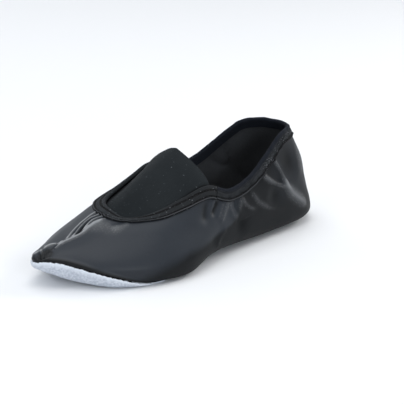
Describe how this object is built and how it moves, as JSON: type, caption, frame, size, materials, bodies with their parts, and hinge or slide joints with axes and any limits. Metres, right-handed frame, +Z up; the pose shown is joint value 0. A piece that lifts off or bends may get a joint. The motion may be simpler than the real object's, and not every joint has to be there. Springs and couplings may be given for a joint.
{
  "type": "gymnastics shoe",
  "caption": "Soft black leather gymnastics slipper with an elastic instep gore, taped throat and collar, and a thin pale suede sole turned up round the toe.",
  "frame": {"origin": "middle of the bounding box on the floor, under the sole", "axes": "+X from the middle towards the heel, so the toe points along -X; +Y towards the inner side of the foot; +Z up"},
  "size_m": [0.245, 0.0937, 0.075],
  "materials": {
    "upper_leather": "soft black nappa leather with a low satin sheen",
    "sole_suede": "napped pale grey suede",
    "sock_cloth": "matt cotton cloth",
    "gore_elastic": "matt black elastic knit",
    "binding_tape": "matt black elastic tape"
  },
  "bodies": {
    "root": {"upper": "upper_leather", "sole": "sole_suede", "insole": "sock_cloth", "gore": "gore_elastic", "throat_binding": "binding_tape", "collar_binding": "binding_tape"}
  },
  "joints": []
}
